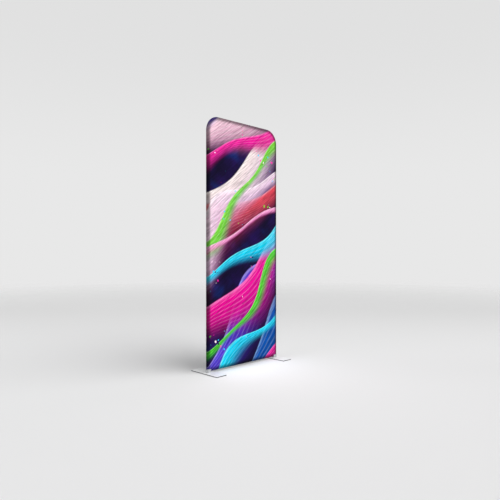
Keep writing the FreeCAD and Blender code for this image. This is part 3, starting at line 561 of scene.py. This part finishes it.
print_cloth = print_finish()
rear_cloth = rear_finish()
zip_weave = tape_finish("zip_tape_weave", tint(206, 207, 210), tint(232, 232, 234))
thread = tape_finish("seam_thread", tint(196, 197, 202), tint(226, 226, 230))
coil_nylon = plastic_finish("coil_nylon", tint(226, 226, 228), tint(206, 207, 210), 0.34, size=0.0003)
foot_coat = coated_finish(
    "foot_silver_coat", tint(236, 237, 238), tint(228, 229, 230), metallic=0.12, roughness=0.42,
    plate=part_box("foot_plate_left")[1])
block_coat = coated_finish(
    "corner_silver_coat", tint(168, 170, 173), tint(156, 158, 161), metallic=0.30, roughness=0.42)
tube_metal = metal_finish(
    "tube_anodised", tint(220, 222, 225), tint(200, 202, 206), (1.0, 1.0, 0.02),
    size=0.0010, roughness=0.36)
rail_metal = metal_finish(
    "rail_anodised", tint(220, 222, 225), tint(200, 202, 206), (0.02, 1.0, 1.0),
    size=0.0010, roughness=0.36)
zinc = metal_finish(
    "zinc_plate", tint(206, 207, 208), tint(184, 186, 190), (1.0, 1.0, 1.0),
    size=0.0016, roughness=0.32)
nickel = metal_finish(
    "zip_nickel", tint(216, 214, 210), tint(196, 194, 190), (0.15, 1.0, 1.0),
    size=0.0008, roughness=0.24)
spring_steel = metal_finish(
    "spring_steel", tint(170, 172, 176), tint(140, 142, 148), (0.1, 1.0, 0.1),
    size=0.0008, roughness=0.30)
mat_rubber = mat_finish()
acetal = plastic_finish("washer_acetal", tint(238, 237, 230), tint(230, 229, 222), 0.40)
board_white = board_finish()
lens_clear = lens_finish()
clip_plastic = plastic_finish("clip_plastic", tint(70, 71, 74), tint(58, 59, 62), 0.48)
lead_jacket = plastic_finish("lead_jacket", tint(232, 232, 230), tint(222, 222, 219), 0.50)
inlet_plastic = plastic_finish("inlet_plastic", tint(34, 34, 36), tint(26, 26, 28), 0.42)

# The solids that each finish is for, by the start of their names.
SOLID_FINISHES = (
    (("lower_pole", "upper_pole", "mid_coupler", "led_channel"), tube_metal),
    (("top_rail", "bottom_rail", "top_coupler"), rail_metal),
    (("corner_block",), block_coat),
    (("foot_plate",), foot_coat),
    (("foot_mat",), mat_rubber),
    (("swivel_washer",), acetal),
    (("pivot_screw", "base_button", "mid_button", "top_button", "rail_button"), zinc),
    (("base_spring", "mid_spring", "top_spring", "rail_spring"), spring_steel),
    (("led_boards",), board_white),
    (("led_lenses",), lens_clear),
    (("led_saddles", "lead_clips"), clip_plastic),
    (("lead_right", "lead_across", "jumper"), lead_jacket),
    (("zip_slider", "zip_pull", "zip_stops"), nickel),
    (("power_inlet",), inlet_plastic),
)


def coat_solids():
    """Gives each solid that stays in view, or sits inside, its own finish."""
    for starts, material in SOLID_FINISHES:
        for name, solid in solids.items():
            if name.startswith(starts):
                solid.data.materials.clear()
                solid.data.materials.append(material)


# Steps that several pieces share

def new_piece(name, mesh, material, smooth=True, rides=True):
    """Makes the finished mesh an object, on the frame unless rides is false."""
    for face in mesh.faces:
        face.smooth = smooth
    data = bpy.data.meshes.new(name)
    mesh.to_mesh(data)
    mesh.free()
    data.materials.append(material)
    made = bpy.data.objects.new(name, data)
    scene.collection.objects.link(made)
    if rides:
        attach(made, "frame")
    return made


def thicken(piece, thickness):
    """Gives a sheet its thickness, inwards from its outer face."""
    body = piece.modifiers.new("thickness", "SOLIDIFY")
    body.thickness = thickness
    body.offset = -1.0


def add_bar(mesh, centre, size, soft):
    """A small block with softened edges."""
    place = Matrix.Translation(centre) @ Matrix.Diagonal((*size, 1.0))
    made = bmesh.ops.create_cube(mesh, size=1.0, matrix=place)
    edges = {edge for vert in made["verts"] for edge in vert.link_edges}
    bmesh.ops.bevel(mesh, geom=list(edges), offset=soft, offset_type="OFFSET", segments=1, profile=0.5,
                    affect="EDGES", material=-1)


def repeat(mesh, first, step, count):
    """Lays copies of the first shape, each one step on from the last."""
    data = bpy.data.meshes.new("repeated")
    first.to_mesh(data)
    first.free()
    for _ in range(count):
        mesh.from_mesh(data)
        data.transform(step)
    bpy.data.meshes.remove(data)


def one_stitch(centre, heading, length, radius):
    """A short six-sided rod of thread that lies along the heading."""
    stitch = bmesh.new()
    turn = Vector((0, 0, 1)).rotation_difference(Vector(heading)).to_matrix().to_4x4()
    bmesh.ops.create_cone(stitch, cap_ends=True, segments=6, radius1=radius, radius2=radius, depth=length,
                          matrix=Matrix.Translation(centre) @ turn)
    return stitch


def stitch_row(mesh, start, end, pitch, length, radius):
    """A straight run of stitches."""
    run = Vector(end) - Vector(start)
    steps = max(1, round(run.length / pitch))
    first = one_stitch(start, run.normalized(), length, radius)
    repeat(mesh, first, Matrix.Translation(run / steps), steps + 1)


def stitch_bend(mesh, start, heading, centre, pitch, length, radius):
    """A quarter round of stitches, anticlockwise from the front, at a corner of the cover."""
    reach = (Vector(start) - Vector(centre)).length
    steps = round(math.pi / 2 * reach / pitch)
    move = Matrix.Translation(centre)
    step = move @ Matrix.Rotation(-math.pi / 2 / steps, 4, "Y") @ move.inverted()
    repeat(mesh, one_stitch(start, heading, length, radius), step, steps)


# The cover's two faces

def slice_at(mesh, point, normal):
    parts = mesh.verts[:] + mesh.edges[:] + mesh.faces[:]
    bmesh.ops.bisect_plane(mesh, geom=parts, dist=1e-7, plane_co=point, plane_no=normal)


def clear_within(mesh, low_x, high_x, low_z, high_z):
    """Deletes the cloth inside a window; its edges have been sliced already."""
    gone = []
    for face in mesh.faces:
        middle = face.calc_center_median()
        if low_x < middle.x < high_x and low_z < middle.z < high_z:
            gone.append(face)
    bmesh.ops.delete(mesh, geom=gone, context="FACES")


def outward(point):
    """Which way, across and up, the nearest edge of the cover lies from a point on its roll."""
    if point.z > bend_z and abs(point.x) > bend_x:
        centre = Vector((math.copysign(bend_x, point.x), bend_z))
        return (Vector((point.x, point.z)) - centre).normalized()
    across = math.copysign(1.0, point.x) if abs(point.x) > half_width - roll else 0.0
    up = float(point.z > cover_top - roll) - float(point.z < cover_base + roll)
    return Vector((across, up))


def outline_face(mesh, facing, start):
    """The cover's outline as one face, at the place on the roll where this side starts."""
    inset = roll * (1 - math.cos(start))
    low, high, wide = cover_base + inset, cover_top - inset, half_width - inset
    corners = []
    for x, z in ((-wide, low), (wide, low), (wide, high), (-wide, high)):
        corners.append(mesh.verts.new((x * -facing, roll * math.sin(start), z)))
    mesh.faces.new(corners)
    tops = [vert for vert in mesh.verts if vert.co.z > cover_middle]
    bend_steps = 28
    bmesh.ops.bevel(mesh, geom=tops, offset=corner_bend - inset, offset_type="OFFSET", segments=bend_steps,
                    profile=0.5, affect="VERTICES", material=-1)


def carry_round(mesh):
    """Carries the front's rim on round the tubes to the seam."""
    rim = mesh.edges[:]
    steps = 6
    for step in range(steps):
        here, there = seam_turn * step / steps, seam_turn * (step + 1) / steps
        made = bmesh.ops.extrude_edge_only(mesh, edges=rim)["geom"]
        rim = [part for part in made if isinstance(part, bmesh.types.BMEdge) and part.is_boundary]
        for vert in {vert for edge in rim for vert in edge.verts}:
            inward = outward(vert.co) * roll * (math.cos(there) - math.cos(here))
            vert.co += Vector((inward.x, roll * (math.sin(there) - math.sin(here)), inward.y))


def roll_over(mesh, flat, start):
    """Rolls the face's edge over the tubes, from where it starts to the flat between them."""
    steps = 9
    part = (math.pi / 2 - start) / steps
    for step in range(steps):
        here, there = start + part * step, start + part * (step + 1)
        bmesh.ops.inset_region(
            mesh, faces=flat, use_boundary=True, use_even_offset=True,
            thickness=roll * (math.cos(here) - math.cos(there)),
            depth=roll * (math.sin(there) - math.sin(here)),
        )


def cut_grid(mesh):
    """Cuts the cloth into even squares."""
    pitch = 0.05
    for count in range(1, round(half_width / pitch)):
        for side in (-1, 1):
            slice_at(mesh, (pitch * count * side, 0, 0), (1, 0, 0))
    for count in range(1, round(cover_top / pitch)):
        slice_at(mesh, (0, 0, pitch * count), (0, 0, 1))


def cut_notches(mesh):
    """Takes the cloth away at the lower corners, where the corner blocks stand."""
    slice_at(mesh, (0, 0, notch_z), (0, 0, 1))
    for side in (-1, 1):
        slice_at(mesh, (notch_x * side, 0, 0), (1, 0, 0))
    clear_within(mesh, -half_width, -notch_x, 0, notch_z)
    clear_within(mesh, notch_x, half_width, 0, notch_z)


def cut_slot(mesh):
    """Opens the slot that shows the zip."""
    low, high = zip_z - slot_gap / 2, zip_z + slot_gap / 2
    for side, level in ((-1, low), (1, high)):
        slice_at(mesh, (0, 0, level), (0, 0, 1))
        slice_at(mesh, (slot_half * side, 0, 0), (1, 0, 0))
    clear_within(mesh, -slot_half, slot_half, low, high)


def unroll(mesh, facing):
    """Writes where each point lies on the flat cut, in metres, so that the knit follows the rolled edge."""
    layer = mesh.loops.layers.uv.new("cloth")
    for face in mesh.faces:
        for corner in face.loops:
            point = corner.vert.co
            angle = math.asin(max(-1.0, min(1.0, facing * point.y / roll)))
            extra = roll * (math.pi / 2 - angle - math.cos(angle))
            corner[layer].uv = Vector((point.x, point.z)) + outward(point) * extra


def cover_face(name, facing, material):
    """One face of the cover, flat between the tubes and rolled round them; -1 faces the front."""
    start = max(0.0, seam_turn * facing)
    mesh = bmesh.new()
    outline_face(mesh, facing, start)
    flat = mesh.faces[:]
    if facing < 0:
        carry_round(mesh)
    roll_over(mesh, flat, start)
    cut_grid(mesh)
    cut_notches(mesh)
    if facing > 0:
        cut_slot(mesh)
    unroll(mesh, facing)
    made = new_piece(name, mesh, material)
    thicken(made, cloth_thickness)
    return made


def seam_stitches():
    """The stitches beside the seam where the two faces meet: the sides, the top and the bottom edge."""
    mesh = bmesh.new()
    turn = seam_turn + stitch_inset / roll
    beside, out = roll * math.sin(turn), roll * (math.cos(turn) - 1)
    side, top, low = half_width + out, cover_top + out, cover_base - out
    foot, end = notch_z + stitch_end, notch_x - stitch_end
    stitch_row(mesh, (side, beside, foot), (side, beside, bend_z), **SEAM_STITCH)
    stitch_bend(mesh, (side, beside, bend_z), (0, 0, 1), (bend_x, beside, bend_z), **SEAM_STITCH)
    stitch_row(mesh, (bend_x, beside, top), (-bend_x, beside, top), **SEAM_STITCH)
    stitch_bend(mesh, (-bend_x, beside, top), (-1, 0, 0), (-bend_x, beside, bend_z), **SEAM_STITCH)
    stitch_row(mesh, (-side, beside, bend_z), (-side, beside, foot), **SEAM_STITCH)
    stitch_row(mesh, (-end, beside, low), (end, beside, low), **SEAM_STITCH)
    return new_piece("seam_stitches", mesh, thread)


# The zip

def zip_teeth():
    """The two rows of the closed coil, each turn reaching a little past the middle."""
    mesh, first = bmesh.new(), bmesh.new()
    pitch, width, past, soft = 0.0014, 0.00060, 0.0005, 0.00018
    depth_share = 0.9
    reach = zip_high.z - zip_z
    deep = (zip_high.y - zip_low.y) * depth_share
    middle_y = (zip_low.y + zip_high.y) / 2
    for side, shift in ((1, 0.0), (-1, pitch / 2)):
        centre = (zip_low.x + width + shift, middle_y, zip_z + side * (reach - past) / 2)
        add_bar(first, centre, (width, deep, reach + past), soft)
    count = int((zip_high.x - zip_low.x - pitch) / pitch)
    repeat(mesh, first, Matrix.Translation((pitch, 0, 0)), count)
    made = new_piece("zip_teeth", mesh, coil_nylon, smooth=False)
    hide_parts("zip_coil")


def zip_tape(name, side):
    """A woven tape sewn behind the slot, on one side of the coil."""
    low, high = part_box("zip_tapes")
    inner, outer = zip_high.z - zip_z, high.z - zip_z
    length, width = high.x - low.x, outer - inner
    mesh = bmesh.new()
    size = Matrix.Diagonal((length / 2, width / 2, 1.0, 1.0))
    stand = Matrix.Rotation(-math.pi / 2, 4, "X")
    centre = Matrix.Translation((0.0, high.y, zip_z + side * (inner + outer) / 2))
    bmesh.ops.create_grid(mesh, x_segments=60, y_segments=3, size=1.0, matrix=centre @ stand @ size)
    made = new_piece(name, mesh, zip_weave)
    thicken(made, high.y - low.y)
    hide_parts("zip_tapes")


def zip_hem():
    """The folded edge of cloth round the zip's slot."""
    mesh = bmesh.new()
    soft = 0.00025
    y = roll + hem_rise / 2
    long, beside = 2 * (slot_half + hem_fold), slot_gap / 2 + hem_fold / 2
    for side in (-1, 1):
        add_bar(mesh, (0, y, zip_z + side * beside), (long, hem_rise, hem_fold), soft)
        add_bar(mesh, (side * (slot_half + hem_fold / 2), y, zip_z), (hem_fold, hem_rise, slot_gap), soft)
    return new_piece("zip_hem", mesh, rear_cloth, smooth=False)


def zip_stitches():
    """The row of stitches along the hem, on all four sides of the slot."""
    mesh = bmesh.new()
    fold_share = 0.62
    out = hem_fold * fold_share
    end, beside, top = slot_half + out, slot_gap / 2 + out, roll + hem_rise
    half_row = beside - stitch_end
    for side in (-1, 1):
        z, x = zip_z + side * beside, side * end
        stitch_row(mesh, (-end, top, z), (end, top, z), **ZIP_STITCH)
        stitch_row(mesh, (x, top, zip_z - half_row), (x, top, zip_z + half_row), **ZIP_STITCH)
    return new_piece("zip_stitches", mesh, thread)


# The snap buttons

def button_springs():
    """The buttons' springs, each remade from its solid as one strip, smooth across its gentle bends, that
    rides on no body.
    """
    crease = math.radians(30)
    for joint in frame["record"]["behaviour"]["joints"]:
        button = joint["child"]
        if "_button_" not in button:
            continue
        node = button.replace("button", "spring")
        mesh = bmesh.new()
        mesh.from_mesh(solids[node].data)
        bmesh.ops.remove_doubles(mesh, verts=mesh.verts, dist=1e-6)
        for edge in mesh.edges:
            edge.smooth = edge.calc_face_angle(0.0) < crease
        strip = new_piece(node + "_strip", mesh, spring_steel, rides=False)
        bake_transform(strip)
        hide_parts(node)


coat_solids()
button_springs()
front = cover_face("front_print_cloth", -1, print_cloth)
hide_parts("front_print")
rear = cover_face("rear_panel_cloth", 1, rear_cloth)
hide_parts("rear_panel")
sewn_on = [seam_stitches()]
zip_teeth()
sewn_on += [zip_hem(), zip_stitches()]
zip_tape("zip_tape_upper", 1)
zip_tape("zip_tape_lower", -1)


# Floor, light and camera

camera_place = (-3.5284, -3.6025, 1.1913)
view_turn = math.radians(45.172)


def place_object(name, data):
    made = bpy.data.objects.new(name, data)
    scene.collection.objects.link(made)
    return made


def floor():
    """A wide pale floor with painted shade that darkens it away from the camera behind the wall, and that
    fades into the background far from the wall.
    """
    radius, sink = 16.0, 0.0004
    back_shade_start, back_shade_end = 0.4, 5.0
    fade_start, fade_end = 6.0, 15.0
    near_paint, back_shade_paint = (0.80, 0.80, 0.803, 1.0), (0.70, 0.70, 0.70, 1.0)
    mesh = bmesh.new()
    bmesh.ops.create_circle(mesh, cap_ends=True, segments=96, radius=radius)
    data = bpy.data.meshes.new("floor")
    mesh.to_mesh(data)
    mesh.free()
    made = place_object("floor", data)
    made.location.z = -sink
    material = bpy.data.materials.new("floor_paint")
    material.use_nodes = True
    material.node_tree.nodes.clear()
    build = Tree(material.node_tree)
    place = build.object_place()
    far = build.add("VectorMath", {0: place}, operation="LENGTH").outputs["Value"]
    # Painted shade: the floor's colour darkens along the camera's line of sight behind the wall, standing
    # in for the soft shadow there.
    away = (math.sin(view_turn), math.cos(view_turn), 0.0)
    behind = build.add("VectorMath", {0: place, 1: away}, operation="DOT_PRODUCT").outputs["Value"]
    pale = build.mix(build.ease(behind, back_shade_start, back_shade_end), near_paint, back_shade_paint)
    paint = build.add("BsdfDiffuse", {"Color": pale})
    clear = build.add("BsdfTransparent")
    fade = build.ease(far, fade_start, fade_end)
    blend = build.add("MixShader", {0: fade, 1: paint.outputs[0], 2: clear.outputs[0]})
    build.add("OutputMaterial", {"Surface": blend.outputs[0]})
    data.materials.append(material)


def surroundings():
    """Even light from all round; the camera and polished metal see the pale background itself."""
    world = bpy.data.worlds.new("studio")
    world.use_nodes = True
    world.node_tree.nodes.clear()
    scene.world = world
    build = Tree(world.node_tree)
    path = build.add("LightPath").outputs
    seen = build.sum("ADD", path["Is Camera Ray"], path["Is Glossy Ray"])
    seen = build.sum("ADD", seen, path["Is Transmission Ray"], clamp=True)
    up = build.parts(build.add("TexCoord").outputs["Generated"])["Z"]
    pale = build.mix(build.ease(up, 0.12, 0.42), tint(232, 232, 232), tint(225, 225, 225))
    fill_strength = 0.38
    light = build.add("Background", {"Color": (1.0, 1.0, 1.0, 1.0), "Strength": fill_strength})
    back = build.add("Background", {"Color": pale, "Strength": 1.0})
    blend = build.add("MixShader", {0: seen, 1: light.outputs[0], 2: back.outputs[0]})
    build.add("OutputWorld", {"Surface": blend.outputs[0]})


def broad_light(name, turn, height, spread, strength):
    """Light from far off: its turn from the wall's front to the right, height and spread are in degrees."""
    data = bpy.data.lights.new(name, "SUN")
    data.energy = strength
    data.angle = math.radians(spread)
    made = place_object(name, data)
    made.rotation_euler = (math.radians(90 - height), 0.0, math.radians(turn))


def panel_glow(middle, size, watts):
    """The lit print's light on the floor: a soft box in front of the cloth that faces forwards."""
    data = bpy.data.lights.new("panel_glow", "AREA")
    data.shape = "RECTANGLE"
    data.size, data.size_y = size
    data.energy = watts
    made = place_object("panel_glow", data)
    made.location = middle
    made.rotation_euler = (math.pi / 2, 0.0, math.pi)
    made.visible_camera = False


def camera():
    """Level, at a little under half the wall's height, to the front left."""
    data = bpy.data.cameras.new("camera")
    data.lens = 35.0
    data.sensor_width = 36.0
    made = place_object("camera", data)
    made.location = camera_place
    made.rotation_euler = (math.pi / 2, 0.0, -view_turn)
    scene.camera = made


floor()
surroundings()
broad_light("front_light", turn=22, height=42, spread=70, strength=2.82)
broad_light("rear_light", turn=-140, height=2, spread=12, strength=1.0)
panel_glow(middle=(0.0, -0.03, 0.66), size=(0.96, 1.1), watts=4.1)
camera()
scene.view_settings.view_transform = "Standard"
